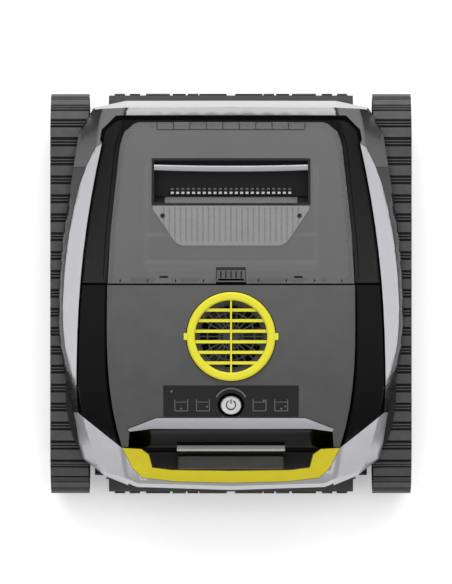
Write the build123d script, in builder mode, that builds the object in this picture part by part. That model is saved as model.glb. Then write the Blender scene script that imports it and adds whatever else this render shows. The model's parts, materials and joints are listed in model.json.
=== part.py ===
from build123d import *
import os
from math import atan2, cos, degrees, hypot, pi, radians, sin

os.makedirs("parts", exist_ok=True)

# A cordless tracked pool cleaner. Millimetres, +Z up, origin on the floor under its centre.
# The carry handle is at the front (-Y), the filter lid at the rear (+Y).

# Overall layout
track_outer_x = 215.0
track_width = 46.0
wheel_y = 173.5
wheel_z = 65.0
belt_radius = 65.0
belt_thickness = 7.0
tread_height = 3.5
tread_count = 48
tread_length = 13.0
floor_top = 17.0
floor_bottom = 14.0
wall = 3.0
tub_x = 149.0
tub_y = 160.0
deck_bottom = 132.0
deck_top = 135.0
panel_gap = 0.4

# Wheels, gears and brushes
running_fit = 0.05
axle_radius = 6.0
wheel_radius = 57.6
wheel_inner_x = 170.5
wheel_outer_x = 213.5
gear_start_x = 152.0
gear_width = 11.0
wheel_teeth = 30
brush_teeth = 18
pinion_teeth = 12
brush_y = 202.0
brush_z = 38.5
brush_radius = 38.0
brush_core_radius = 15.0
brush_fins = 8
gear_module = 2 * hypot(brush_y - wheel_y, wheel_z - brush_z) / (wheel_teeth + brush_teeth)
pinion_y = -wheel_y + gear_module * (wheel_teeth + pinion_teeth) / 2

# Outlet, filter and controls
outlet_y = -50.4
outlet_top = 269.0
grille_outer = 52.2
grille_inner = 42.3
basket_x = 104.0
basket_front = 26.0
basket_rear = 154.0
basket_bottom = 40.0
basket_top = 196.0
inlet_x = 58.0
inlet_front = 64.0
inlet_rear = 92.0
hinge_y = 199.0
hinge_z = 196.0
button_y = -131.0
button_z = 247.2
button_tilt = 27.0
button_radius = 12.0

# Hull stations: y, base half width, shoulder half width, top half width, crown height
hull_stations = [
    (229.0, 172.0, 150.0, 124.0, 186.0),
    (206.0, 178.0, 155.0, 127.0, 204.0),
    (150.0, 187.0, 162.0, 133.0, 227.0),
    (80.0, 198.0, 171.0, 139.0, 248.0),
    (10.0, 203.5, 178.0, 145.0, 261.5),
    (-60.0, 202.5, 181.0, 146.0, 265.0),
    (-110.0, 194.0, 180.0, 144.0, 256.5),
    (-150.0, 185.0, 174.0, 138.0, 236.0),
    (-195.0, 180.0, 162.0, 128.0, 205.0),
    (-236.5, 172.0, 150.0, 118.0, 174.0),
]
crown_drop = 5.0
knee_height = 9.0
shoulder_share = 0.42

# Seam curves seen from above, right-hand side: x, y
blade_inner = [(152.7, 177.6), (166.0, 110.0), (172.0, 70.0), (178.0, 15.0), (181.5, -45.0), (183.0, -111.5)]
blade_outer = [(160.5, 173.0), (178.0, 133.5), (191.0, 78.5), (199.0, 5.0), (195.5, -74.0), (183.0, -111.5)]
panel_edge = [(145.6, 10.0), (146.0, -45.0), (144.2, -95.0), (139.3, -136.3), (128.6, -181.4)]
bumper_corner = (181.6, -141.0)
front_outline = [(206.0, -120.0), (181.0, -180.0), (176.0, -197.0)]
front_outline += [(150.0, -217.0), (112.0, -232.5), (0.0, -236.0)]
rear_outline = [(0.0, 230.5), (125.0, 229.0), (163.0, 221.0), (183.0, 188.0), (206.0, 120.0)]
grip_outer = [(128.6, -182.0), (116.2, -206.6), (104.7, -217.7), (65.6, -222.4), (0.0, -223.9)]
grip_inner = [(0.0, -209.5), (70.0, -208.6), (93.0, -205.6), (97.0, -190.0), (106.0, -183.4)]


def save(part, name):
    """Label a finished piece and write it as a STEP file."""
    part.label = name
    export_step(part, f"parts/{name}.step")


def save_pair(part, name):
    """Write a right-hand piece and its mirror image on the left."""
    save(part, f"right_{name}")
    save(mirror(part, about=Plane.YZ), f"left_{name}")


def flipped(points):
    """The same points on the other side of the centre plane."""
    return [(-x, y) for x, y in points]


def both_sides(points):
    """A closed outline from the points of its right half, given in order from the centre line out."""
    return points + [point for point in reversed(flipped(points)) if point[0] != 0]


def hull(inset):
    """The body's outer form, lofted through its stations, drawn in by an inset."""
    with BuildPart() as body:
        for y, base_x, shoulder_x, top_x, crown_z in hull_stations:
            edge_z = crown_z - crown_drop - inset
            shoulder_z = deck_bottom + shoulder_share * (crown_z - crown_drop - deck_bottom) - inset / 2
            station_y = y - inset if y > 0 else y
            with BuildSketch(Plane.XZ.offset(-station_y)) as section:
                with BuildLine():
                    Polyline(
                        (top_x - inset, edge_z),
                        (shoulder_x - inset, shoulder_z),
                        (base_x - inset, deck_bottom + knee_height),
                        (base_x - inset, deck_bottom),
                        (inset - base_x, deck_bottom),
                        (inset - base_x, deck_bottom + knee_height),
                        (inset - shoulder_x, shoulder_z),
                        (inset - top_x, edge_z),
                    )
                    ThreePointArc((inset - top_x, edge_z), (0, crown_z - inset), (top_x - inset, edge_z))
                make_face()
                fillet(section.vertices().sort_by(Axis.Y)[-2:], 12)
                fillet(section.vertices().sort_by(Axis.Y)[4:6], 14)
        loft()
        with BuildSketch(Plane.XY.offset(deck_bottom)):
            with BuildLine():
                Polyline(*both_sides(front_outline[::-1] + rear_outline[::-1]), close=True)
            make_face()
            offset(amount=-inset if inset else -0.01, kind=Kind.INTERSECTION)
        extrude(amount=150, taper=9, mode=Mode.INTERSECT)
    return body.part


def panel(stock, points, top=outlet_top, bottom=deck_bottom, clearance=panel_gap / 2):
    """The part of a stock solid inside a closed outline seen from above."""
    with BuildPart() as piece:
        add(stock)
        add(prism(points, bottom, top, clearance), mode=Mode.INTERSECT)
    return piece.part


def prism(points, bottom, top, clearance=0.0):
    """A closed outline seen from above, drawn in by a clearance and made solid."""
    with BuildPart() as piece:
        with BuildSketch(Plane.XY.offset(bottom)):
            with BuildLine():
                Polyline(*points, close=True)
            make_face()
            if clearance:
                offset(amount=-clearance, kind=Kind.INTERSECTION)
        extrude(amount=top - bottom)
    return piece.part


def curve_points(points, count):
    """Evenly spread points along a smooth curve through a few given ones."""
    spline = Spline(*points)
    return [((spline @ (step / count)).X, (spline @ (step / count)).Y) for step in range(count + 1)]


def x_at(points, y):
    """Where a seam curve, given from rear to front, crosses a y."""
    for (x0, y0), (x1, y1) in zip(points, points[1:]):
        if y0 >= y >= y1:
            return x0 + (x1 - x0) * (y0 - y) / (y0 - y1)
    raise ValueError("the curve does not reach that y")


def side_profile(points, x_start, x_end):
    """A solid with the given y-z outline between two x planes."""
    with BuildPart() as piece:
        with BuildSketch(Plane.YZ.offset(x_start)):
            with BuildLine():
                Polyline(*points, close=True)
            make_face()
        extrude(amount=x_end - x_start)
    return piece.part


def block(low, high, corner=0.0):
    """A box between two corners, with its upright edges rounded."""
    with BuildPart() as piece:
        with BuildSketch(Plane.XY.offset(low[2])):
            with Locations(((low[0] + high[0]) / 2, (low[1] + high[1]) / 2)):
                if corner:
                    RectangleRounded(high[0] - low[0], high[1] - low[1], corner)
                else:
                    Rectangle(high[0] - low[0], high[1] - low[1])
        extrude(amount=high[2] - low[2])
    return piece.part


def rod(plane, radius, length, bore=0.0):
    """A cylinder or tube standing on a plane."""
    with BuildPart() as piece:
        with BuildSketch(plane):
            Circle(radius)
            if bore:
                Circle(bore, mode=Mode.SUBTRACT)
        extrude(amount=length)
    return piece.part


def across(x, y, z):
    """A plane at a point, facing along +X."""
    return Plane(origin=(x, y, z), x_dir=(0, 1, 0), z_dir=(1, 0, 0))


def upright(x, y, z):
    """A plane at a point, facing up."""
    return Plane(origin=(x, y, z))


def gear_outline(teeth):
    """Draw a straight-flanked gear with play on the current sketch."""
    pitch_radius = gear_module * teeth / 2
    root = pitch_radius - 1.2 * gear_module
    tip = pitch_radius + 0.8 * gear_module
    foot = 0.6 * gear_module
    crest = 0.26 * gear_module
    Circle(root)
    with PolarLocations(0, teeth):
        Polygon((root - 1, -foot), (tip, -crest), (tip, crest), (root - 1, foot), align=None)


# ---------------------------------------------------------------- body forms
outer = hull(0)
inner = hull(wall)
under = hull(wall + panel_gap / 2)
proud = hull(-1.2)
skin = outer - inner

blade_in = curve_points(blade_inner, 9)
blade_out = curve_points(blade_outer, 12)
edge_curve = curve_points(panel_edge, 8)
seam_y = panel_edge[0][1]
far_x = 230.0

# ---------------------------------------------------------------- chassis and deck
hood_radius = brush_radius + 7
plate_end = brush_y + 20
inside_x = tub_x - wall
with BuildPart() as chassis:
    with BuildSketch(Plane.XY.offset(floor_bottom)):
        Rectangle(2 * tub_x, 2 * tub_y)
        Rectangle(2 * inside_x, 2 * (tub_y - wall), mode=Mode.SUBTRACT)
    extrude(amount=deck_bottom - floor_bottom)
    with BuildSketch(Plane.XY.offset(floor_bottom)):
        Rectangle(2 * tub_x, 2 * tub_y)
        with Locations((0, (inlet_front + inlet_rear) / 2)):
            Rectangle(2 * inlet_x + 6.4, inlet_rear - inlet_front + 6.4, mode=Mode.SUBTRACT)
    extrude(amount=floor_top - floor_bottom)
    for x in (-tub_x, inside_x):
        for end in (1, -1):
            add(side_profile(
                [
                    (end * tub_y, floor_bottom),
                    (end * brush_y, floor_bottom),
                    (end * plate_end, brush_z - 8),
                    (end * plate_end, brush_z + 36),
                    (end * brush_y, deck_bottom),
                    (end * tub_y, deck_bottom),
                ],
                x,
                x + wall,
            ))
    for end in (1, -1):
        with BuildSketch(Plane.YZ.offset(-inside_x)):
            with Locations((end * brush_y, brush_z)):
                Circle(hood_radius)
                Circle(hood_radius - wall, mode=Mode.SUBTRACT)
            with Locations((end * brush_y, brush_z - hood_radius + 28)):
                Rectangle(3 * hood_radius, 2 * hood_radius, mode=Mode.SUBTRACT)
            with Locations((end * (brush_y + tub_y) / 2, brush_z + hood_radius - wall / 2)):
                Rectangle(brush_y - tub_y, wall)
        extrude(amount=2 * inside_x)
    with Locations(*[across(-tub_x, end * brush_y, brush_z) for end in (1, -1)]):
        Hole(9.0 + running_fit, depth=2 * tub_x)
    with Locations(across(inside_x, pinion_y, wheel_z), across(-tub_x, pinion_y, wheel_z)):
        Cylinder(6.0, 3 * wall, mode=Mode.SUBTRACT)
save(chassis.part, "chassis")

with BuildPart() as deck:
    add(under)
    add(block((-far_x, -250, deck_top), (far_x, 250, outlet_top)), mode=Mode.SUBTRACT)
    basket_room = block((-basket_x - 4, basket_front - 4, 0), (basket_x + 4, basket_rear + 3, 200), 5)
    add(basket_room, mode=Mode.SUBTRACT)
    add(rod(upright(0, outlet_y, 0), 44.0, 200), mode=Mode.SUBTRACT)
    add(block((-124, -250, 0), (124, -190, 200)), mode=Mode.SUBTRACT)
save(deck.part, "deck_frame")

with BuildPart() as bottom_cover:
    with BuildSketch(Plane.XY.offset(9.0)):
        with Locations((0, (inlet_front + inlet_rear) / 2)):
            RectangleRounded(220, 96, 14)
            RectangleRounded(2 * inlet_x, inlet_rear - inlet_front, 6, mode=Mode.SUBTRACT)
    extrude(amount=floor_bottom - 9.0)
    with BuildSketch(Plane.XY.offset(9.0)):
        with Locations((0, (inlet_front + inlet_rear) / 2)):
            RectangleRounded(2 * inlet_x + 6, inlet_rear - inlet_front + 6, 8)
            RectangleRounded(2 * inlet_x, inlet_rear - inlet_front, 6, mode=Mode.SUBTRACT)
    extrude(amount=29.0)
    chamfer(bottom_cover.faces().sort_by(Axis.Z)[0].edges(), 1.5)
    with Locations(*[(x, y, 9.0) for x in (-98, 98) for y in (40, 116)]):
        Cylinder(2.4, 20, mode=Mode.SUBTRACT)
save(bottom_cover.part, "bottom_cover")

with BuildPart() as cover_screws:
    for x in (-98, 98):
        for y in (40, 116):
            add(rod(upright(x, y, 7.4), 4.2, 1.6))
            add(rod(upright(x, y, 9.0), 2.3, 5.0))
save(cover_screws.part, "cover_screws")

# ---------------------------------------------------------------- upper panels
lip_rear = [(122.0, -159.6), (87.5, -146.2)]
upper_half = edge_curve + [(121.0, -181.4), (119.5, -163.0)] + lip_rear
with BuildPart() as upper_shell:
    add(panel(skin, upper_half + flipped(upper_half)[::-1]))
    add(rod(upright(0, outlet_y, 150), grille_outer + 0.8, 150), mode=Mode.SUBTRACT)
    add(block((-79.5, -145.0, 150), (79.5, -108.0, 300)), mode=Mode.SUBTRACT)
save(upper_shell.part, "upper_shell")

flank_half = (
    [(edge_curve[0][0], seam_y), (x_at(blade_in, seam_y), seam_y)]
    + [point for point in blade_in if point[1] < seam_y]
    + [bumper_corner]
    + edge_curve[:0:-1]
)
save_pair(panel(skin, flank_half), "flank")
save_pair(panel(proud - inner, blade_in + blade_out[-2::-1]), "blade")

corner_y = 150.0
fairing_half = (
    [(far_x, corner_y), (x_at(blade_out, corner_y), corner_y)]
    + [point for point in blade_out if point[1] < corner_y]
    + [bumper_corner, (far_x, bumper_corner[1])]
)
with BuildPart() as right_fairing:
    add(panel(skin, fairing_half))
    with BuildSketch(Plane.XY.offset(deck_bottom)):
        with BuildLine():
            skirt = Spline((194.5, -84.0), (196.5, -110.0), (193.0, -150.0), (185.0, -178.0))
            Polyline(skirt @ 1, (181.0, -178.0), (183.0, -142.0), (186.0, -100.0), skirt @ 0)
        make_face()
    extrude(amount=-1.6)
save_pair(right_fairing.part, "fairing")

lid_rear_y = 205.0
panel_rear_y = 210.4
rear_half = (
    [(far_x, 240.0), (far_x, corner_y), (x_at(blade_out, corner_y), corner_y)]
    + [point for point in blade_out if point[1] > corner_y][::-1]
    + [blade_inner[0], (155.0, 182.0), (153.0, 194.0), (136.0, panel_rear_y)]
)
save(panel(skin, rear_half + flipped(rear_half)[::-1]), "rear_panel")

# ---------------------------------------------------------------- handle and fascia
bumper_shape = [(far_x, bumper_corner[1]), bumper_corner] + grip_outer + flipped(grip_outer[:-1])[::-1]
bumper_shape += [(-bumper_corner[0], bumper_corner[1]), (-far_x, bumper_corner[1])]
bumper_shape += [(-far_x, -250.0), (far_x, -250.0)]
with BuildPart() as front_bumper:
    add(panel(outer, bumper_shape, bottom=deck_top))
    add(block((-122, -250, 100), (122, -190, 150)), mode=Mode.SUBTRACT)
save(front_bumper.part, "front_bumper")

grip_shape = grip_outer + flipped(grip_outer[:-1])[::-1] + flipped(grip_inner[1:])[::-1] + grip_inner
save(panel(proud, grip_shape, bottom=152.0), "handle_grip")

lip_half = lip_rear[::-1] + [(119.5, -163.0), (95.0, -159.6)]
save(panel(proud - under, lip_half + flipped(lip_half)[::-1]), "front_lip")

fascia_x = 119.0
fascia_face = [(-157.5, 236.0), (-160.0, 226.0), (-166.0, 200.0), (-180.0, 168.0), (-189.0, deck_top)]
fascia_back = [(y + wall, z) for y, z in reversed(fascia_face)]
fascia_hollow = fascia_face + [(-260.0, deck_top), (-260.0, 236.0)]
with BuildPart() as front_fascia:
    add(side_profile(fascia_face + fascia_back, -fascia_x, fascia_x))
    for x in (-fascia_x, fascia_x - wall):
        cheek = [(-157.5, 236.0), (-181.0, 236.0), (-181.0, deck_top), (-157.5, deck_top)]
        add(side_profile(cheek, x, x + wall))
    add(under, mode=Mode.INTERSECT)
    add(prism(grip_shape, 100, 300, clearance=-0.6), mode=Mode.SUBTRACT)
save(front_fascia.part, "front_fascia")

with BuildPart() as fascia_trim:
    add(side_profile([(-179.9, 168.2), (-184.0, 169.0), (-187.0, 160.0), (-184.2, 158.2)], -64, 64))
    add(front_fascia.part, mode=Mode.SUBTRACT)
save(fascia_trim.part, "fascia_trim")

with BuildPart() as service_cover:
    add(block((-63, -209, brush_z + hood_radius), (63, -193, 118), 3))
    fillet(service_cover.faces().sort_by(Axis.Z)[-1].edges(), 2)
    add(rod(across(-70, -brush_y, brush_z), hood_radius, 140), mode=Mode.SUBTRACT)
save(service_cover.part, "service_cover")

# ---------------------------------------------------------------- lid
lid_front_y = 12.6
lid_rear_y = 205.0
lid_edge_gap = 1.2
thick_skin = outer - hull(wall + 2.7)
lid_half = [(x_at(blade_in, lid_front_y) - lid_edge_gap, lid_front_y)]
lid_half += [(x - lid_edge_gap, y) for x, y in reversed(blade_in) if y > lid_front_y]
lid_half += [(150.8, 184.0), (149.2, 190.0), (146.0, 195.6)]
lid_half += [(137.6, 202.2), (133.4, 204.4), (128.0, lid_rear_y)]
window_half = [(145.0, lid_front_y - 1), (142.0, 70.0), (137.0, 120.0)]
window_half += [(131.5, 172.0), (128.8, 183.0), (125.6, 191.2)]
window_half += [(119.4, 196.4), (113.8, 201.0), (108.0, 202.5)]
lid_outline = lid_half + flipped(lid_half)[::-1]
window_outline = window_half + flipped(window_half)[::-1]
scoop_front_y = 104.0
scoop_rear_y = 159.5
scoop_x = 93.5
scoop_floor = 203.0
ramp_half = [(scoop_x - 1, scoop_front_y - 0.6), (scoop_x - 1, 99.0), (66.0, 60.0), (58.0, 56.0)]
ramp_outline = ramp_half + flipped(ramp_half)[::-1]
latch_x = 17.0
knuckle_pitch = 19.4
knuckle_length = knuckle_pitch - 0.8
knuckle_radius = 4.5
pin_radius = 2.0

lid_knuckles = [index * knuckle_pitch for index in range(-4, 5, 2)]
base_knuckles = [index * knuckle_pitch for index in range(-3, 4, 2)]

with BuildPart() as lid_frame:
    add(panel(thick_skin, lid_outline))
    add(prism(window_outline, 100, 300, clearance=7), mode=Mode.SUBTRACT)
    for x in base_knuckles:
        knuckle_room = block((x - knuckle_pitch / 2, hinge_y - 8, 180), (x + knuckle_pitch / 2, 210, 202.4))
        add(knuckle_room, mode=Mode.SUBTRACT)
    for x in lid_knuckles:
        add(rod(across(x - knuckle_length / 2, hinge_y, hinge_z), knuckle_radius, knuckle_length))
        add(block((x - 8, hinge_y - 3, hinge_z), (x + 8, hinge_y + 3, hinge_z + 8)))
    add(panel(skin, window_outline, clearance=0), mode=Mode.SUBTRACT)
    add(block((-latch_x - 1, 5, 200), (latch_x + 1, 32, 300)), mode=Mode.SUBTRACT)
    add(rod(across(-100, hinge_y, hinge_z), pin_radius + running_fit, 200), mode=Mode.SUBTRACT)
save(lid_frame.part, "lid_frame")

with BuildPart() as lid_window:
    add(panel(skin, window_outline))
    add(block((-scoop_x, scoop_front_y, 100), (scoop_x, scoop_rear_y, 300)), mode=Mode.SUBTRACT)
    add(prism(ramp_outline, 100, 300, clearance=0), mode=Mode.SUBTRACT)
    add(block((-latch_x - 0.6, 5, 100), (latch_x + 0.6, 31, 300)), mode=Mode.SUBTRACT)
save(lid_window.part, "lid_window")

scoop_cut = [(105.6, 262), (106.8, 236), (114.0, 214), (115.4, 206), (156.6, 206), (156.6, 262)]
with BuildPart() as lid_scoop:
    add(block((-scoop_x + 0.2, scoop_front_y + 0.2, scoop_floor), (scoop_x - 0.2, scoop_rear_y - 0.2, 300)))
    add(outer, mode=Mode.INTERSECT)
    add(side_profile(scoop_cut, -scoop_x + wall, scoop_x - wall), mode=Mode.SUBTRACT)
save(lid_scoop.part, "lid_scoop")

with BuildPart() as scoop_bar:
    with BuildSketch(Plane.XY.offset(219.0)):
        with BuildLine():
            bar_rear = ThreePointArc((-scoop_x + wall, 152.0), (0, 150.6), (scoop_x - wall, 152.0))
            bar_front = ThreePointArc((-scoop_x + wall, 145.0), (0, 143.4), (scoop_x - wall, 145.0))
            Line(bar_rear @ 0, bar_front @ 0)
            Line(bar_rear @ 1, bar_front @ 1)
        make_face()
    extrude(amount=8)
    long_edges = scoop_bar.edges().filter_by(GeomType.CIRCLE).group_by(Axis.Z)[-1]
    fillet(long_edges, 2.5)
save(scoop_bar.part, "scoop_bar")

tooth_pitch = 6.3
tooth_count = 23
comb_floor = scoop_floor + wall
with BuildPart() as scoop_comb:
    add(block((-74, 115.8, comb_floor), (74, 125.4, comb_floor + 1.6)))
    for row_y, height in ((118.8, 4.4), (123.4, 2.6)):
        with BuildSketch(Plane.XY.offset(comb_floor + 1)):
            with Locations((0, row_y)):
                with GridLocations(tooth_pitch, 1, tooth_count, 1):
                    Rectangle(3.8, 3.0)
        extrude(amount=height)
save(scoop_comb.part, "scoop_comb")

with BuildPart() as scoop_ramp:
    add(panel(skin, ramp_outline))
    with BuildSketch(Plane.XY.offset(200)):
        with Locations((0, 81.0)):
            with GridLocations(6.6, 1, 25, 1):
                Rectangle(1.4, 40)
    grooves = extrude(amount=80, mode=Mode.PRIVATE)
    add(grooves & (proud - hull(0.8)), mode=Mode.SUBTRACT)
save(scoop_ramp.part, "scoop_ramp")

latch_outline = [(-latch_x, 13.4), (latch_x, 13.4), (latch_x, 27.4), (-latch_x, 27.4)]
save(panel(outer - hull(2.6), latch_outline, clearance=0), "lid_latch")

with BuildPart() as hinge_base:
    for x in base_knuckles:
        add(rod(across(x - knuckle_length / 2, hinge_y, hinge_z), knuckle_radius, knuckle_length))
        add(block((x - 7, hinge_y - 3, deck_top), (x + 7, hinge_y + 3, hinge_z)))
    add(block((-66, hinge_y - 6, deck_top), (66, hinge_y + 6, deck_top + 4)))
    add(rod(across(-100, hinge_y, hinge_z), pin_radius, 200), mode=Mode.SUBTRACT)
save(hinge_base.part, "hinge_base")
save(rod(across(-88, hinge_y, hinge_z), pin_radius, 176), "hinge_pin")

# ---------------------------------------------------------------- filter
flap_z = 47.0
flap_y = 98.0
with BuildPart() as filter_basket:
    add(block((-basket_x, basket_front, basket_bottom), (basket_x, basket_rear, basket_top), 8))
    inside_low = (wall - basket_x, basket_front + wall, basket_bottom + wall)
    add(block(inside_low, (basket_x - wall, basket_rear - wall, 300), 5), mode=Mode.SUBTRACT)
    with BuildSketch(Plane.XZ.offset(-250)):
        with Locations((0, 120)):
            with GridLocations(50, 1, 4, 1):
                RectangleRounded(42, 116, 4)
    extrude(amount=400, mode=Mode.SUBTRACT)
    with BuildSketch(Plane.YZ.offset(-150)):
        with Locations(((basket_front + basket_rear) / 2, 120)):
            with GridLocations(38, 1, 3, 1):
                RectangleRounded(31, 116, 4)
    extrude(amount=300, mode=Mode.SUBTRACT)
    add(block((2 - inlet_x, inlet_front + 2, 0), (inlet_x - 2, inlet_rear - 2, 60), 4), mode=Mode.SUBTRACT)
    for x in (-64.0, 61.0):
        add(block((x, flap_y - 3, basket_bottom + wall), (x + wall, flap_y + 3, flap_z + 3)))
    add(rod(across(-70, flap_y, flap_z), 1.5 + running_fit, 140), mode=Mode.SUBTRACT)
save(filter_basket.part, "filter_basket")

with BuildPart() as filter_mesh:
    mesh_in = wall + 0.2
    for y in (basket_front + mesh_in, basket_rear - mesh_in - 0.8):
        add(block((-basket_x + 8, y, 50), (basket_x - 8, y + 0.8, 188)))
    for x in (-basket_x + mesh_in, basket_x - mesh_in - 0.8):
        add(block((x, basket_front + 8, 50), (x + 0.8, basket_rear - 8, 188)))
save(filter_mesh.part, "filter_mesh")

with BuildPart() as filter_rim:
    with BuildSketch(Plane.XY.offset(basket_top)):
        with Locations((0, (basket_front + basket_rear) / 2)):
            RectangleRounded(2 * basket_x, basket_rear - basket_front, 8)
        with Locations((0, 53.5)):
            RectangleRounded(194, 28, 3, mode=Mode.SUBTRACT)
        with Locations((0, 110.0)):
            RectangleRounded(194, 76, 3, mode=Mode.SUBTRACT)
    extrude(amount=4)
    fillet(filter_rim.faces().sort_by(Axis.Z)[-1].edges(), 1)
save(filter_rim.part, "filter_rim")

with BuildPart() as inlet_flap:
    add(block((-59, 61.6, basket_bottom + wall + 0.6), (59, flap_y - 1, basket_bottom + wall + 3), 0))
    add(rod(across(-59, flap_y, flap_z), 3.0, 118))
    add(rod(across(-63.6, flap_y, flap_z), 1.5, 127.2))
save(inlet_flap.part, "inlet_flap")

# ---------------------------------------------------------------- outlet and pump
with BuildPart() as outlet_grille:
    add(rod(upright(0, outlet_y, 254), grille_outer, outlet_top - 254, grille_inner))
    fillet(outlet_grille.faces().sort_by(Axis.Z)[-1].edges(), 3)
    with BuildSketch(Plane.XY.offset(258.5)):
        with Locations((0, outlet_y)):
            Circle(grille_inner + 1)
            with GridLocations(1, 12.4, 1, 7):
                Rectangle(100, 8.8, mode=Mode.SUBTRACT)
            with Locations((0, 45), (0, -45)):
                Rectangle(100, 20, mode=Mode.SUBTRACT)
    extrude(amount=5.5)
    add(block((-1, outlet_y - grille_inner - 1, 258.5), (1, outlet_y + grille_inner + 1, 266.0)))
    for x in (-55.5, 51.5):
        add(block((x, outlet_y - 4, 265.2), (x + 4, outlet_y + 4, 267.6)))
save(outlet_grille.part, "outlet_grille")

with BuildPart() as propeller_guard:
    add(rod(upright(0, outlet_y, 214), 41.5, 36, 38.5))
    add(rod(upright(0, outlet_y, 250), 50.0, 3.6, 38.5))
    with BuildSketch(Plane.XY.offset(246)):
        with Locations((0, outlet_y)):
            for ring in (36.5, 27.0, 13.0):
                Circle(ring + 1.6)
                Circle(ring, mode=Mode.SUBTRACT)
            Circle(9.0)
            with PolarLocations(23.9, 24):
                Rectangle(31, 1.4)
    extrude(amount=3)
save(propeller_guard.part, "propeller_guard")

with BuildPart() as propeller:
    add(rod(upright(0, outlet_y, 222), 9.0, 18))
    fillet(propeller.faces().sort_by(Axis.Z)[-1].edges(), 3)
    for angle in (0, 120, 240):
        turn = radians(angle)
        outward = (cos(turn), sin(turn), 0)
        along = (-sin(turn), cos(turn), 0)
        for reach, width, thick, pitch in ((7.0, 18.0, 3.0, 48.0), (36.0, 26.0, 1.8, 24.0)):
            centre = (reach * cos(turn), outlet_y + reach * sin(turn), 231)
            with BuildSketch(Plane(origin=centre, x_dir=along, z_dir=outward)):
                Rectangle(width, thick, rotation=pitch)
        loft()
    add(rod(upright(0, outlet_y, 200), 4.0, 38), mode=Mode.SUBTRACT)
save(propeller.part, "propeller")
save(rod(upright(0, outlet_y, 152), 4.0, 86), "propeller_shaft")

with BuildPart() as pump_motor:
    add(rod(upright(0, outlet_y, 30), 31.0, 152))
    chamfer(pump_motor.faces().sort_by(Axis.Z)[-1].edges(), 3)
    add(rod(upright(0, outlet_y, 22), 12.0, 8))
    add(rod(upright(0, outlet_y, 150), 4.0 + running_fit, 40), mode=Mode.SUBTRACT)
save(pump_motor.part, "pump_motor")

with BuildPart() as motor_housing:
    add(rod(upright(0, outlet_y, floor_top), 37.0, 179))
    add(rod(upright(0, outlet_y, floor_top + 5), 34.0, 170), mode=Mode.SUBTRACT)
    add(rod(upright(0, outlet_y, 150), 4.0 + running_fit, 60), mode=Mode.SUBTRACT)
    fillet(motor_housing.faces().sort_by(Axis.Z)[-1].edges().sort_by(Edge.length)[-1], 3)
save(motor_housing.part, "motor_housing")

with BuildPart() as battery_pack:
    add(block((-72, -151, floor_top), (72, -95, 108), 8))
    chamfer(battery_pack.faces().sort_by(Axis.Z)[-1].edges(), 2)
save(battery_pack.part, "battery_pack")

board_parts = [(-30, -120, 22, 22, 3), (20, -130, 30, 14, 9), (38, -110, 16, 10, 12), (-45, -140, 14, 8, 6)]
with BuildPart() as circuit_board:
    add(block((-62, -148, 112), (62, -98, 113.6), 2))
    for x, y, width, depth, height in board_parts:
        add(block((x, y - depth / 2, 113.6), (x + width, y + depth / 2, 113.6 + height)))
    for x in (-56, 56):
        for y in (-142, -104):
            add(rod(upright(x, y, 108), 3.0, 4))
save(circuit_board.part, "circuit_board")

# ---------------------------------------------------------------- controls
tilt = radians(button_tilt)
button_axis = (0, -sin(tilt), cos(tilt))


def button_plane(offset_along):
    """A plane square to the button's travel, a distance above the panel's surface."""
    origin = (0, button_y + offset_along * button_axis[1], button_z + offset_along * button_axis[2])
    return Plane(origin=origin, x_dir=(1, 0, 0), z_dir=button_axis)


panel_rect = [(-79.3, -144.8), (79.3, -144.8), (79.3, -108.2), (-79.3, -108.2)]
with BuildPart() as control_panel:
    add(panel(skin, panel_rect, clearance=0))
    add(rod(button_plane(-20), 15.6, 40), mode=Mode.SUBTRACT)
save(control_panel.part, "control_panel")

with BuildPart() as button_bezel:
    add(rod(button_plane(-7), 15.3, 7.8))
    add(rod(button_plane(-5), button_radius + 0.35, 10), mode=Mode.SUBTRACT)
save(button_bezel.part, "button_bezel")

with BuildPart() as power_button:
    add(rod(button_plane(-3), button_radius, 4.8))
    fillet(power_button.edges().sort_by(Axis.Z)[-1], 1.2)
save(power_button.part, "power_button")

# ---------------------------------------------------------------- tracks
belt_inner = belt_radius - belt_thickness
band_radius = belt_radius - tread_height
track_inner_x = track_outer_x - track_width
straight = 2 * wheel_y
loop_length = 2 * straight + 2 * pi * band_radius


def belt_station(distance, radius):
    """Position and outward angle at a distance round the belt's loop."""
    arc = pi * band_radius
    if distance < straight:
        return distance - wheel_y, wheel_z + radius, 90.0
    distance -= straight
    if distance < arc:
        angle = 90.0 - degrees(distance / band_radius)
        return wheel_y + radius * cos(radians(angle)), wheel_z + radius * sin(radians(angle)), angle
    distance -= arc
    if distance < straight:
        return wheel_y - distance, wheel_z - radius, -90.0
    distance -= straight
    angle = -90.0 - degrees(distance / band_radius)
    return -wheel_y + radius * cos(radians(angle)), wheel_z + radius * sin(radians(angle)), angle


with BuildPart() as right_belt:
    with BuildSketch(Plane.YZ.offset(track_inner_x)):
        with Locations((0, wheel_z)):
            SlotCenterToCenter(straight, 2 * band_radius)
        for index in range(tread_count):
            distance = (index + 0.5) * loop_length / tread_count
            y, z, angle = belt_station(distance, belt_radius - tread_height / 2 - 0.5)
            with Locations(Location((y, z), angle)):
                Rectangle(tread_height + 1, tread_length)
        with Locations((0, wheel_z)):
            SlotCenterToCenter(straight, 2 * belt_inner, mode=Mode.SUBTRACT)
    extrude(amount=track_width)
    add(block((100, -300, -5), (300, 300, 0)), mode=Mode.SUBTRACT)
save_pair(right_belt.part, "belt")

brush_angle = degrees(atan2(brush_z - wheel_z, brush_y - wheel_y))


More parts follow.
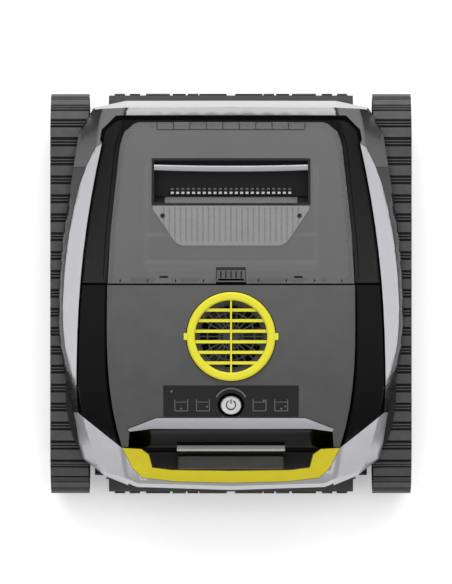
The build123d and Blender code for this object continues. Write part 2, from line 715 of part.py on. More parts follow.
def wheel(end):
    """A right-hand wheel with its drive gear, at the rear (1) or the front (-1)."""
    gear_turn = brush_angle if end > 0 else 180.0 - brush_angle
    centre_y = end * wheel_y
    with BuildPart() as piece:
        wheel_width = wheel_outer_x - wheel_inner_x
        add(rod(across(wheel_inner_x, centre_y, wheel_z), wheel_radius, wheel_width, wheel_radius - 7))
        with BuildSketch(across(wheel_outer_x - 14, centre_y, wheel_z)):
            Circle(wheel_radius - 6)
            with PolarLocations(33.0, 6):
                Circle(11.0, mode=Mode.SUBTRACT)
        extrude(amount=5)
        with BuildSketch(across(wheel_inner_x + 1, centre_y, wheel_z)):
            with PolarLocations(33.0, 6, start_angle=30):
                Rectangle(38, 4)
        extrude(amount=wheel_outer_x - 14 - wheel_inner_x)
        add(rod(across(gear_start_x - 0.8, centre_y, wheel_z), 14.0, wheel_outer_x - gear_start_x + 0.7))
        with BuildSketch(across(gear_start_x, centre_y, wheel_z)):
            with Locations(Location((0, 0), gear_turn)):
                add(gear_face(wheel_teeth))
        extrude(amount=gear_width)
        add(rod(across(100, centre_y, wheel_z), axle_radius + running_fit, 130), mode=Mode.SUBTRACT)
    return piece.part


def gear_face(teeth):
    """A gear outline as a sketch of its own."""
    with BuildSketch() as outline:
        gear_outline(teeth)
    return outline.sketch


for end, place in ((1, "rear"), (-1, "front")):
    save_pair(wheel(end), f"{place}_wheel")

with BuildPart() as wheel_axles:
    for end in (1, -1):
        add(rod(across(tub_x, end * wheel_y, wheel_z), 10.0, 1.8))
        add(rod(across(tub_x, end * wheel_y, wheel_z), axle_radius, 64.7))
        add(rod(across(tub_x + 64.7, end * wheel_y, wheel_z), 9.0, 1.1))
    mirror(about=Plane.YZ)
save(wheel_axles.part, "wheel_axles")

cover_ends = [(-128, 13), (128, 13), (128, 117), (-128, 117)]
with BuildPart() as right_side_cover:
    add(side_profile(cover_ends, 203, 206))
    for end in (1, -1):
        add(rod(across(190, end * wheel_y, wheel_z), belt_inner + 4, 30), mode=Mode.SUBTRACT)
    for y in (-52, 0, 52):
        add(rod(across(tub_x, y, wheel_z), 7.0, 203 - tub_x))
save_pair(right_side_cover.part, "side_cover")

# ---------------------------------------------------------------- drive motors and brushes
with BuildPart() as right_drive_motor:
    add(rod(across(84, pinion_y, wheel_z), 17.0, 62))
    chamfer(right_drive_motor.faces().sort_by(Axis.X)[0].edges(), 2)
    add(rod(across(136, pinion_y, wheel_z), 4.0 + running_fit, 20), mode=Mode.SUBTRACT)
save_pair(right_drive_motor.part, "drive_motor")

nearest_tooth = (180.0 - brush_angle) % (360.0 / wheel_teeth)
pinion_turn = 180.0 - nearest_tooth * wheel_teeth / pinion_teeth + 180.0 / pinion_teeth
with BuildPart() as right_pinion:
    with BuildSketch(across(gear_start_x + 0.5, pinion_y, wheel_z)):
        with Locations(Location((0, 0), pinion_turn)):
            add(gear_face(pinion_teeth))
    extrude(amount=gear_width - 1)
    add(rod(across(138, pinion_y, wheel_z), 4.0, gear_start_x - 137))
save_pair(right_pinion.part, "drive_pinion")

fin_stagger = 90.0 / brush_fins
long_fins = [(4.2, 38.0), (54.0, 70.0), (109.0, 121.5)]
short_fins = [(39.0, 52.0), (73.0, 102.0), (127.0, 139.5)]


def brush(end):
    """A right-hand half brush with its gear, at the rear (1) or the front (-1)."""
    turn = brush_angle if end > 0 else 180.0 - brush_angle
    centre_y = end * brush_y
    with BuildPart() as piece:
        add(rod(across(5, centre_y, brush_z), brush_core_radius, 136))
        for spans, phase in ((long_fins, -fin_stagger), (short_fins, fin_stagger)):
            for start, stop in spans:
                with BuildSketch(across(max(start, 5), centre_y, brush_z)):
                    with PolarLocations(brush_core_radius + 11.5 - 0.5, brush_fins // 2, start_angle=phase):
                        Rectangle(2 * 12 - 0.2, 3.4)
                    with PolarLocations(brush_radius - 2, brush_fins // 2, start_angle=phase):
                        Rectangle(4, 6)
                    with Locations((0, 0)):
                        Circle(brush_core_radius + 1)
                extrude(amount=stop - max(start, 5))
        add(rod(across(140, centre_y, brush_z), 9.0, gear_start_x - 139))
        with BuildSketch(across(gear_start_x, centre_y, brush_z)):
            with Locations(Location((0, 0), turn + 180.0 + 180.0 / brush_teeth)):
                add(gear_face(brush_teeth))
        extrude(amount=gear_width)
        add(rod(across(0, centre_y, brush_z), 4.0 + running_fit, 24), mode=Mode.SUBTRACT)
    return piece.part


for end, place in ((1, "rear"), (-1, "front")):
    save_pair(brush(end), f"{place}_brush")

with BuildPart() as brush_brackets:
    for end in (1, -1):
        arm = [(end * tub_y, 60), (end * brush_y, brush_z + 7)]
        arm += [(end * brush_y, brush_z - 7), (end * tub_y, 18)]
        add(side_profile(arm, -2.4, 2.4))
        add(rod(across(-2.4, end * brush_y, brush_z), 9.0, 4.8))
        add(rod(across(-22, end * brush_y, brush_z), 4.0, 44))
save(brush_brackets.part, "brush_brackets")
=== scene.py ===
"""A tracked pool cleaner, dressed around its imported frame."""

import json
import logging
import math
from dataclasses import dataclass, field
from enum import Enum
from typing import Any, Iterable, Optional, Sequence

import bpy
from mathutils import Matrix, Vector
from mathutils.bvhtree import BVHTree


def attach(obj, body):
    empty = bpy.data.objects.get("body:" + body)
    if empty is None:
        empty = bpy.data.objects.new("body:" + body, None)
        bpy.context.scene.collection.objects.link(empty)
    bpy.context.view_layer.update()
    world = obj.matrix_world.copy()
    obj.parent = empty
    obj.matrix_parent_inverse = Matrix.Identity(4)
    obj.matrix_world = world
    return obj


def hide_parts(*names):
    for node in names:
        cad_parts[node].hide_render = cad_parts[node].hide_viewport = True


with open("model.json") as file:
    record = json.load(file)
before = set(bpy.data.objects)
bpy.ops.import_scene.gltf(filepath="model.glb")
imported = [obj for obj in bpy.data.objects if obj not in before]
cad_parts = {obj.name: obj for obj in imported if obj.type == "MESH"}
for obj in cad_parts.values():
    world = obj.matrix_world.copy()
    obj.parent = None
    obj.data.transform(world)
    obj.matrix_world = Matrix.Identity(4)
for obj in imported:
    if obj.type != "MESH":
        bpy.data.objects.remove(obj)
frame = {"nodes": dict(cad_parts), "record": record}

LOG = logging.getLogger("pool_cleaner")
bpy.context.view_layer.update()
MM = 0.001
ROOT = "root"
LID = "lid"
Point = tuple[float, float, float]
Place = tuple[float, float]
Span = tuple[float, float]

BEVEL_DEG = 40.0  # edges sharper than this are rounded
SMOOTH_DEG = 38.0  # edges flatter than this are shaded smooth
BROAD_FACE_WEIGHT = 60
MERGE_M = 0.00001
UPWARD = 0.9  # a face whose normal has at least this much z is a top face
RIBBON_STEP_MM = 1.5
RAY_START_M = 1.0  # above everything
NEAREST_FROM_M = 0.2  # about the height of the casing's top
LIE_MM = 0.02  # how far printed lines stand off the surface
COAT_ROUGHNESS = 0.05
NOISE_DETAIL = 3.0
NOISE_ROUGHNESS = 0.55
RAMP_LOW, RAMP_HIGH = 0.25, 0.75


class Side(Enum):
    """The two sides of the machine, as the sign of x."""

    LEFT = -1
    RIGHT = 1

    @property
    def word(self) -> str:
        """The side's word in a piece's name."""
        return self.name.lower()


class End(Enum):
    """The two ends of the machine, as the sign of y."""

    FRONT = -1
    REAR = 1

    @property
    def word(self) -> str:
        """The end's word in a piece's name."""
        return self.name.lower()


# ------------------------------------------------------------------ finishes


def linear(hex_colour: str) -> tuple[float, float, float, float]:
    """Turn an sRGB hex colour into linear RGBA.

    Args:
        hex_colour: Six hex digits with a leading hash.

    Returns:
        Red, green, blue and an alpha of one.
    """
    channels = [int(hex_colour[start : start + 2], 16) / 255 for start in (1, 3, 5)]
    values = [c / 12.92 if c <= 0.04045 else ((c + 0.055) / 1.055) ** 2.4 for c in channels]
    return values[0], values[1], values[2], 1.0


def add_node(
    tree: bpy.types.NodeTree,
    kind: str,
    values: Optional[dict[str | int, Any]] = None,
    links: Optional[dict[str | int, bpy.types.NodeSocket]] = None,
    **settings: Any,
) -> bpy.types.Node:
    """Add one shader node.

    Args:
        tree: The node tree it goes into.
        kind: The node's type name.
        values: Input sockets and the values they hold.
        links: Input sockets and the outputs they are fed from.
        settings: The node's own properties.

    Returns:
        The new node.
    """
    node = tree.nodes.new(kind)
    for name, value in settings.items():
        setattr(node, name, value)
    for key, value in (values or {}).items():
        node.inputs[key].default_value = value
    for key, socket in (links or {}).items():
        tree.links.new(socket, node.inputs[key])
    return node


def per_metre(size_mm: float) -> float:
    """The noise scale whose features are about this many millimetres wide."""
    return 1.0 / (size_mm * MM)


@dataclass(frozen=True)
class Finish:
    """A material: its colour, how it takes light, and the relief its making left.

    The mottle is a slow drift of colour, the grain a fine relief.
    """

    name: str
    slot: str
    colour: str
    roughness: float
    metallic: float = 0.0
    specular: float = 0.5
    coat: float = 0.0
    alpha: float = 1.0
    mottle: float = 0.06
    mottle_mm: float = 22.0
    grain_mm: float = 1.1
    grain_depth_mm: float = 0.03
    rough_spread: float = 0.05
    stretch: Point = (1.0, 1.0, 1.0)

    def material(self) -> bpy.types.Material:
        """Find the finished material, or build it the first time.

        Returns:
            The Blender material.
        """
        found = bpy.data.materials.get(self.name)
        if found:
            return found
        made = bpy.data.materials.new(self.name)
        made.use_nodes = True
        tree = made.node_tree
        shader = tree.nodes["Principled BSDF"]
        coords = add_node(tree, "ShaderNodeTexCoord").outputs["Object"]
        stretch = {"Scale": self.stretch}
        mapped = add_node(tree, "ShaderNodeMapping", stretch, {"Vector": coords}).outputs[0]
        self.set_plain(shader, made)
        tree.links.new(self.colour_socket(tree, mapped), shader.inputs["Base Color"])
        tree.links.new(self.rough_socket(tree, mapped), shader.inputs["Roughness"])
        height = self.relief_socket(tree, mapped)
        bump = add_node(
            tree,
            "ShaderNodeBump",
            {"Strength": 1.0, "Distance": self.grain_depth_mm * MM},
            {"Height": height},
        )
        tree.links.new(bump.outputs[0], shader.inputs["Normal"])
        return made

    def set_plain(self, shader: bpy.types.Node, made: bpy.types.Material) -> None:
        """Set what is the same all over the surface.

        Args:
            shader: The material's main shader.
            made: The material.
        """
        shader.inputs["Metallic"].default_value = self.metallic
        shader.inputs["Specular IOR Level"].default_value = self.specular
        shader.inputs["Coat Weight"].default_value = self.coat
        shader.inputs["Coat Roughness"].default_value = COAT_ROUGHNESS
        shader.inputs["Alpha"].default_value = self.alpha
        if self.alpha < 1.0:
            made.surface_render_method = "BLENDED"

    def noise(
        self, tree: bpy.types.NodeTree, vector: bpy.types.NodeSocket, size_mm: float
    ) -> bpy.types.NodeSocket:
        """A soft noise of a given feature size.

        Args:
            tree: The node tree.
            vector: The coordinates it reads.
            size_mm: The width of its features.

        Returns:
            The noise's factor output.
        """
        values = {
            "Scale": per_metre(size_mm),
            "Detail": NOISE_DETAIL,
            "Roughness": NOISE_ROUGHNESS,
        }
        return add_node(tree, "ShaderNodeTexNoise", values, {"Vector": vector}).outputs["Fac"]

    def colour_socket(
        self, tree: bpy.types.NodeTree, vector: bpy.types.NodeSocket
    ) -> bpy.types.NodeSocket:
        """The colour with its slow drift.

        Args:
            tree: The node tree.
            vector: The coordinates it reads.

        Returns:
            A colour output.
        """
        base = linear(self.colour)
        drift = self.noise(tree, vector, self.mottle_mm)
        ramp = add_node(tree, "ShaderNodeValToRGB", None, {"Fac": drift})
        low, high = ramp.color_ramp.elements
        low.position, high.position = RAMP_LOW, RAMP_HIGH
        low.color = [channel * (1 - self.mottle) for channel in base[:3]] + [1.0]
        high.color = [channel * (1 + self.mottle) for channel in base[:3]] + [1.0]
        return ramp.outputs["Color"]

    def rough_socket(
        self, tree: bpy.types.NodeTree, vector: bpy.types.NodeSocket
    ) -> bpy.types.NodeSocket:
        """The roughness with its handling marks.

        Args:
            tree: The node tree.
            vector: The coordinates it reads.

        Returns:
            A value output.
        """
        least, most = self.roughness - self.rough_spread, self.roughness + self.rough_spread
        marks = self.noise(tree, vector, self.mottle_mm / 3)
        span = {"To Min": least, "To Max": most}
        return add_node(tree, "ShaderNodeMapRange", span, {"Value": marks}).outputs[0]

    def relief_socket(
        self, tree: bpy.types.NodeTree, vector: bpy.types.NodeSocket
    ) -> bpy.types.NodeSocket:
        """The height of the fine relief.

        Args:
            tree: The node tree.
            vector: The coordinates it reads.

        Returns:
            A value output.
        """
        return self.noise(tree, vector, self.grain_mm)


@dataclass(frozen=True)
class WovenMesh(Finish):
    """A fine woven filter cloth: sets of threads with holes between them."""

    thread_mm: float = 1.2

    def relief_socket(
        self, tree: bpy.types.NodeTree, vector: bpy.types.NodeSocket
    ) -> bpy.types.NodeSocket:
        """Threads along every axis, so that each panel shows the two sets that lie in it.

        Args:
            tree: The node tree.
            vector: The coordinates it reads.

        Returns:
            A value output.
        """
        scale = {"Scale": per_metre(self.thread_mm) / (2 * math.pi)}
        waves = []
        for direction in ("X", "Y", "Z"):
            wave = add_node(
                tree, "ShaderNodeTexWave", scale, {"Vector": vector}, bands_direction=direction
            )
            waves.append(wave.outputs["Fac"])
        highest = waves[0]
        for wave in waves[1:]:
            pair = {0: highest, 1: wave}
            highest = add_node(tree, "ShaderNodeMath", None, pair, operation="MAXIMUM").outputs[0]
        return highest


@dataclass(frozen=True)
class TurnedMetal(Finish):
    """Metal with fine tool marks along one direction."""

    mark_mm: float = 0.6

    def relief_socket(
        self, tree: bpy.types.NodeTree, vector: bpy.types.NodeSocket
    ) -> bpy.types.NodeSocket:
        """Fine marks stretched along the tool's path.

        Args:
            tree: The node tree.
            vector: The coordinates it reads.

        Returns:
            A value output.
        """
        return self.noise(tree, vector, self.mark_mm)


# Moulded ABS with a fine spark-eroded texture. Its 0.4 mm grain is drawn at 1.6 mm, to show.
MATTE_SHELL = Finish(
    "matte_abs_shell", "matte_shell", "#4f4f4f", 0.52, specular=0.2, grain_mm=1.6,
    grain_depth_mm=0.02,
)
# The same ABS, darker behind the controls: painted shade of the shell's front slope.
PLATE_IN_PAINTED_SHADE = Finish(
    "matte_abs_controls", "matte_shell", "#262626", 0.48, specular=0.1, grain_mm=1.6,
    grain_depth_mm=0.015,
)
# Piano-black ABS, polished in the mould. Its specular level is set far below the plastic's own, so
# that the pale floor doesn't grey it at a slant.
GLOSS_BLACK = Finish(
    "gloss_black_abs", "gloss_black", "#020202", 0.12, specular=0.006, mottle=0.2, grain_mm=9.0,
    grain_depth_mm=0.01, rough_spread=0.03,
)
# The rear panel has the same polish and a clear lacquer.
REAR_BLACK = Finish(
    "lacquered_black_abs", "gloss_black", "#0b0b0c", 0.16, specular=0.7, coat=0.3, mottle=0.2,
    grain_mm=12.0, grain_depth_mm=0.01, rough_spread=0.02,
)
# Silver lacquer over ABS: fine aluminium flake in a clear coat. On the front lip and the scoop's
# bar it is a painted highlight: the reflection on a rounded gloss edge.
SILVER_AND_PAINTED_HIGHLIGHT = Finish(
    "silver_lacquer", "silver_paint", "#a5a5a9", 0.34, metallic=0.45, coat=0.35, mottle=0.03,
    grain_mm=0.9, grain_depth_mm=0.006, rough_spread=0.04,
)
# The lid's dark rails: black polycarbonate with a soft sheen, its specular level lowered as well.
RAIL = Finish(
    "black_polycarbonate_rail", "dark_gloss", "#121213", 0.34, specular=0.015, mottle=0.1,
    grain_mm=10.0, grain_depth_mm=0.01, rough_spread=0.03,
)
# Dark moulded polycarbonate over the tracks, glossy and slightly blue.
FAIRING = Finish(
    "dark_gloss_fairing", "dark_gloss", "#1d1e20", 0.16, specular=0.35, mottle=0.1, grain_mm=10.0,
    grain_depth_mm=0.01, rough_spread=0.03,
)
# Yellow ABS, satin from the mould.
YELLOW = Finish(
    "yellow_abs", "yellow_plastic", "#cdc730", 0.34, specular=0.3, mottle=0.03, grain_mm=1.8,
    grain_depth_mm=0.012,
)
# Yellow thermoplastic rubber on the handle, softer and a little warmer.
YELLOW_GRIP = Finish(
    "yellow_soft_grip", "yellow_grip", "#c9bb16", 0.42, specular=0.3, mottle=0.05, grain_mm=1.5,
    grain_depth_mm=0.03,
)
# Smoked polycarbonate, clear enough to show the filter's frame.
SMOKED = Finish(
    "smoked_polycarbonate", "smoked_window", "#6f6f6f", 0.2, specular=0.2, alpha=0.56,
    mottle=0.03, mottle_mm=60.0, grain_mm=14.0, grain_depth_mm=0.01, rough_spread=0.03,
)
# The ribbed ramp is the same sheet, left thinner and paler.
RAMP = Finish(
    "ribbed_polycarbonate", "smoked_window", "#7e7e7e", 0.28, specular=0.3, alpha=0.9,
    mottle=0.04, grain_mm=6.0, grain_depth_mm=0.02,
)
# Black glass-filled nylon for the inner mouldings, with its faint swirl.
BLACK_NYLON = Finish(
    "black_nylon", "dark_plastic", "#19191a", 0.5, specular=0.35, mottle=0.15, grain_mm=1.4,
    grain_depth_mm=0.03,
)
# Grey glass-filled nylon: a satin, slightly cloudy moulding.
GREY_NYLON = Finish(
    "grey_nylon", "dark_plastic", "#4c4c4d", 0.45, specular=0.4, mottle=0.1, grain_mm=1.4,
    grain_depth_mm=0.03,
)
# Moulded polypropylene of the tub: waxy, with a coarse mould texture.
CHASSIS = Finish(
    "chassis_polypropylene", "chassis_plastic", "#2b2b2d", 0.55, specular=0.35, mottle=0.12,
    grain_mm=2.0, grain_depth_mm=0.05,
)
# Pale grey ABS of the filter's two bars, satin from the mould.
PALE = Finish(
    "pale_abs", "light_plastic", "#dcdcdc", 0.4, mottle=0.03, grain_mm=1.6, grain_depth_mm=0.02,
)
# The comb's front teeth: pale moulded ABS, darkened as painted shade in the scoop.
FRONT_TOOTH_SHADE = Finish(
    "pale_abs_tooth", "light_plastic", "#b8b8b8", 0.4, mottle=0.03, grain_mm=1.6,
    grain_depth_mm=0.02,
)
# The comb's rear teeth: the same moulded ABS, darker still as painted deep shade in the scoop.
REAR_TOOTH_DEEP_SHADE = Finish(
    "grey_abs_tooth", "light_plastic", "#4c4c4c", 0.4, mottle=0.03, grain_mm=1.6,
    grain_depth_mm=0.02,
)
# Mid-grey moulded ABS of the filter's rim, dulled by wear.
RIM_GREY = Finish(
    "grey_abs_rim", "light_plastic", "#8a8a8a", 0.45, mottle=0.05, grain_mm=1.6,
    grain_depth_mm=0.02,
)
# Grey moulded ABS of the scoop's ledge.
LEDGE = Finish(
    "grey_abs_ledge", "light_plastic", "#6c6c6c", 0.4, mottle=0.05, grain_mm=1.6,
    grain_depth_mm=0.02,
)
# Moulded tread rubber of the pads, a mid grey, lighter than the grooves' copy.
TREAD = Finish(
    "tread_rubber", "track_rubber", "#484848", 0.62, specular=0.2, mottle=0.14, mottle_mm=9.0,
    grain_mm=0.9, grain_depth_mm=0.06, rough_spread=0.08,
)
# The same rubber in the grooves, darker and duller: painted shade in the grooves.
GROOVE_RUBBER_PAINTED_SHADE = Finish(
    "tread_bed_rubber", "track_rubber", "#202020", 0.7, specular=0.15, mottle=0.12, mottle_mm=9.0,
    grain_mm=0.9, grain_depth_mm=0.05,
)
# Flexible moulded PVC of the brush blades: soft highlights, a little uneven.
BRUSH = Finish(
    "brush_pvc", "brush_rubber", "#262627", 0.45, specular=0.4, mottle=0.15, mottle_mm=8.0,
    grain_mm=1.2, grain_depth_mm=0.04,
)
# Moulded nylon of the wheels and gears, satin.
WHEEL = Finish(
    "wheel_nylon", "wheel_plastic", "#3a3a3c", 0.45, specular=0.4, mottle=0.1, grain_mm=1.6,
    grain_depth_mm=0.03,
)
# Stainless steel, turned: bright, with fine tool marks.
STEEL = TurnedMetal(
    "turned_steel", "steel", "#a8a8a8", 0.3, metallic=1.0, mottle=0.05, grain_depth_mm=0.01,
)
# Spun aluminium cans of the motors: a soft sheen, with fine marks drawn out along x.
MOTOR_CAN = TurnedMetal(
    "spun_aluminium", "motor_can", "#a2a3a6", 0.36, metallic=1.0, mottle=0.05,
    stretch=(0.1, 1.0, 1.0), grain_depth_mm=0.015,
)
# Satin aluminium cap of the power button, blasted and anodised.
BUTTON = Finish(
    "satin_aluminium_button", "button_silver", "#bcbcbc", 0.36, metallic=0.6, mottle=0.04,
    grain_mm=0.8, grain_depth_mm=0.01,
)
# Green solder resist over glass-fibre board: glossy, with the copper's faint relief.
CIRCUIT = Finish(
    "solder_resist", "circuit", "#14603a", 0.35, mottle=0.2, mottle_mm=4.0, grain_mm=1.5,
    grain_depth_mm=0.08,
)
# Woven nylon filter cloth. Its 0.2 mm threads are drawn at 1.2 mm so that they show.
CLOTH = WovenMesh(
    "nylon_filter_cloth", "filter_mesh", "#8a8a8c", 0.7, mottle=0.08, grain_depth_mm=0.25,
)
# Screen-printed ink of the pictograms: flat and dry.
INK = Finish(
    "grey_print_ink", "matte_shell", "#5c5c5c", 0.5, mottle=0.05, grain_mm=0.8,
    grain_depth_mm=0.01,
)
# Moulded polycarbonate diffuser of the light arc, unlit and milky grey. The glint on the bezel's
# front is a painted highlight in the same grey.
ARC_DIFFUSER_AND_GLINT = Finish(
    "light_arc_diffuser", "light_plastic", "#606060", 0.4, mottle=0.04, grain_mm=0.8,
    grain_depth_mm=0.01,
)


# ------------------------------------------------------------------ workshop


def body_of_node(node: str) -> str:
    """The body that a CAD node belongs to.

    Args:
        node: The node's name.

    Returns:
        The body's name.
    """
    for body, members in frame["record"]["behaviour"]["bodies"].items():
        if node in members:
            return body
    raise KeyError(node)


def clear_selection() -> None:
    """Deselect everything."""
    bpy.ops.object.select_all(action="DESELECT")


def take_up(piece: bpy.types.Object) -> bpy.types.Object:
    """Make a piece the only selected and active one.

    Args:
        piece: The object.

    Returns:
        The same object.
    """
    clear_selection()
    piece.select_set(True)
    bpy.context.view_layer.objects.active = piece
    return piece


def settle(piece: bpy.types.Object) -> bpy.types.Object:
    """Put a piece's place, turn and size into its mesh.

    Args:
        piece: The object.

    Returns:
        The same object.
    """
    take_up(piece)
    bpy.ops.object.transform_apply(location=True, rotation=True, scale=True)
    return piece


def soften(piece: bpy.types.Object, width_mm: float, segments: int = 2) -> bpy.types.Object:
    """Round a piece's sharp edges and shade it smooth.

    Args:
        piece: The object.
        width_mm: The bevel's width.
        segments: The bevel's steps.

    Returns:
        The same object.
    """
    take_up(piece)
    if width_mm:
        bevel = piece.modifiers.new("edge", "BEVEL")
        bevel.width = width_mm * MM
        bevel.segments = segments
        bevel.limit_method = "ANGLE"
        bevel.angle_limit = math.radians(BEVEL_DEG)
        bevel.harden_normals = False
        bpy.ops.object.modifier_apply(modifier=bevel.name)
    bpy.ops.object.shade_smooth_by_angle(angle=math.radians(SMOOTH_DEG))
    return piece


def weigh_normals(piece: bpy.types.Object) -> None:
    """Let a piece's broad faces lead its shading, so that curved mouldings look even.

    Args:
        piece: The object.
    """
    take_up(piece)
    weighted = piece.modifiers.new("even_shading", "WEIGHTED_NORMAL")
    weighted.keep_sharp = True
    weighted.weight = BROAD_FACE_WEIGHT
    bpy.ops.object.modifier_apply(modifier=weighted.name)


def block(
    name: str, low: Sequence[float], high: Sequence[float], soft_mm: float
) -> bpy.types.Object:
    """A box between two corners in millimetres, with softened edges.

    Args:
        name: The piece's name.
        low: Its lowest corner.
        high: Its highest corner.
        soft_mm: The bevel on its edges.

    Returns:
        The new object.
    """
    clear_selection()
    centre = [(a + b) / 2 * MM for a, b in zip(low, high)]
    bpy.ops.mesh.primitive_cube_add(size=1, location=centre)
    piece = bpy.context.object
    piece.name = name
    piece.scale = [(b - a) * MM for a, b in zip(low, high)]
    settle(piece)
    return soften(piece, soft_mm)


def join(name: str, pieces: Iterable[bpy.types.Object]) -> bpy.types.Object:
    """Join several objects into one.

    Args:
        name: The joined piece's name.
        pieces: The objects.

    Returns:
        The joined object.
    """
    clear_selection()
    members = list(pieces)
    for piece in members:
        piece.select_set(True)
    bpy.context.view_layer.objects.active = members[0]
    bpy.ops.object.join()
    joined = bpy.context.object
    joined.name = name
    settle(joined)
    return joined


def copied(source: bpy.types.Object, name: str) -> bpy.types.Object:
    """A copy of an object with a mesh of its own.

    Args:
        source: The object.
        name: The copy's name.

    Returns:
        The copy.
    """
    twin = source.copy()
    twin.data = source.data.copy()
    twin.name = name
    bpy.context.scene.collection.objects.link(twin)
    return twin


def placed(source: bpy.types.Object, name: str, matrix: Matrix) -> bpy.types.Object:
    """A copy of an object, moved by a matrix that goes into its mesh.

    Args:
        source: The object.
        name: The copy's name.
        matrix: The move.

    Returns:
        The copy.
    """
    twin = copied(source, name)
    twin.data.transform(matrix)
    if matrix.determinant() < 0:
        twin.data.flip_normals()
    return twin


def dress(piece: bpy.types.Object, finish: Finish, body: str) -> bpy.types.Object:
    """Give a new piece its material and the body it rides on.

    Args:
        piece: The object.
        finish: Its finish.
        body: The body's name.

    Returns:
        The same object.
    """
    piece.data.materials.clear()
    piece.data.materials.append(finish.material())
    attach(piece, body)
    LOG.info("%s rides on %s in %s", piece.name, body, finish.name)
    return piece


def finish_node(node: str, finish: Finish) -> None:
    """Give a CAD node its material and leave its shape alone.

    Args:
        node: The node's name.
        finish: Its finish.
    """
    target = frame["nodes"][node]
    target.data.materials.clear()
    target.data.materials.append(finish.material())
    LOG.info("%s keeps its shape in %s", node, finish.name)


def refine(node: str, finish: Finish, soft_mm: float, segments: int = 2) -> bpy.types.Object:
    """A merged, edge-softened and smooth copy that stands for a CAD node.

    Args:
        node: The node's name.
        finish: Its finish.
        soft_mm: The bevel on its sharp edges.
        segments: The bevel's steps.

    Returns:
        The new piece.
    """
    source = frame["nodes"][node]
    piece = copied(source, f"{node}_moulding")
    for mark in [key for key in piece.keys() if key.startswith("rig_")]:
        del piece[mark]
    piece.parent = None
    piece.matrix_world = Matrix.Identity(4)
    take_up(piece)
    bpy.ops.mesh.customdata_custom_splitnormals_clear()
    bpy.ops.object.mode_set(mode="EDIT")
    bpy.ops.mesh.select_all(action="SELECT")
    bpy.ops.mesh.remove_doubles(threshold=MERGE_M)
    bpy.ops.object.mode_set(mode="OBJECT")
    soften(piece, soft_mm, segments)
    weigh_normals(piece)
    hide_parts(node)
    return dress(piece, finish, body_of_node(node))


@dataclass(frozen=True)
class Moulding:
    """A CAD node to refine: its finish, and how its sharp edges are rounded."""

    node: str
    finish: Finish
    edge_mm: float
    segments: int = 2


def refine_all(mouldings: Iterable[Moulding]) -> None:
    """Refine several CAD nodes in order.

    Args:
        mouldings: The nodes with their finishes and edges.
    """
    for item in mouldings:
        refine(item.node, item.finish, item.edge_mm, item.segments)


@dataclass
class Surface:
    """The top of some CAD nodes, to lay thin details on."""

    nodes: Sequence[str]
    tree: BVHTree = field(init=False)

    def __post_init__(self) -> None:
        """Gather the nodes' faces into one search tree."""
        points: list[Vector] = []
        faces: list[list[int]] = []
        for node in self.nodes:
            mesh = frame["nodes"][node].data
            start = len(points)
            points += [vertex.co.copy() for vertex in mesh.vertices]
            faces += [[start + index for index in polygon.vertices] for polygon in mesh.polygons]
        self.tree = BVHTree.FromPolygons(points, faces)

    def height(self, x: float, y: float) -> float:
        """The surface's height over a place, in metres.

        Args:
            x: Place along x, in metres.
            y: Place along y, in metres.

        Returns:
            The height, or that of the nearest point where nothing is below.
        """
        hit = self.tree.ray_cast(Vector((x, y, RAY_START_M)), Vector((0, 0, -1)))[0]
        if hit is None:
            hit = self.tree.find_nearest(Vector((x, y, NEAREST_FROM_M)))[0]
        return hit.z

    def lay(self, piece: bpy.types.Object, lift_mm: float = 0.0) -> bpy.types.Object:
        """Drape a piece that was modelled about z = 0 over the surface.

        Args:
            piece: The object.
            lift_mm: How far above the surface its z = 0 comes.

        Returns:
            The same object.
        """
        for vertex in piece.data.vertices:
            vertex.co.z += self.height(vertex.co.x, vertex.co.y) + lift_mm * MM
        return piece


def ribbon(
    name: str, path: Sequence[Place], width_mm: float, thick_mm: float = 0.25
) -> bpy.types.Object:
    """A thin strip that follows a path in plan, about z = 0.

    Args:
        name: The strip's name.
        path: Its centre line, in millimetres.
        width_mm: Its width.
        thick_mm: Its thickness.

    Returns:
        The new object.
    """
    points = [Vector((x, y)) for x, y in path]
    line = [points[0]]
    for start, end in zip(points, points[1:]):
        steps = max(1, math.ceil((end - start).length / RIBBON_STEP_MM))
        line += [start.lerp(end, step / steps) for step in range(1, steps + 1)]
    clear_selection()
    bpy.ops.mesh.primitive_grid_add(x_subdivisions=len(line) - 1, y_subdivisions=1, size=1)
    strip = bpy.context.object
    strip.name = name
    for vertex in strip.data.vertices:
        index = round((vertex.co.x + 0.5) * (len(line) - 1))
        ahead = line[min(index + 1, len(line) - 1)] - line[max(index - 1, 0)]
        across = Vector((-ahead.y, ahead.x)).normalized() * width_mm / 2
        place = line[index] + (across if vertex.co.y > 0 else -across)
        vertex.co = Vector((place.x * MM, place.y * MM, 0.0))
    return thickened(strip, thick_mm)


def thickened(sheet: bpy.types.Object, thick_mm: float) -> bpy.types.Object:
    """Give a flat sheet its thickness, upwards.

    Args:
        sheet: The flat object.
        thick_mm: Its thickness.

    Returns:
        The same object.
    """
    take_up(sheet)
    solid = sheet.modifiers.new("thickness", "SOLIDIFY")
    solid.thickness = thick_mm * MM
    solid.offset = 1.0
    bpy.ops.object.modifier_apply(modifier=solid.name)
    return sheet


def arc_path(
    centre: Place, radius: float, start_deg: float, end_deg: float, steps: int = 40
) -> list[Place]:
    """Points on an arc in plan.

    Args:
        centre: Its centre, in millimetres.
        radius: Its radius.
        start_deg: Where it starts, from +x towards +y.
        end_deg: Where it ends.
        steps: How many pieces it has.

    Returns:
        The points.
    """
    shares = [step / steps for step in range(steps + 1)]
    angles = [math.radians(start_deg + (end_deg - start_deg) * share) for share in shares]
    return [(centre[0] + radius * math.cos(a), centre[1] + radius * math.sin(a)) for a in angles]


def select_top(piece: bpy.types.Object) -> None:
    """Select a piece's upward faces and open it for face editing.

    Args:
        piece: The active object.
    """
    for polygon in piece.data.polygons:
        polygon.select = polygon.normal.z > UPWARD
    bpy.ops.object.mode_set(mode="EDIT")
    bpy.ops.mesh.select_mode(type="FACE")


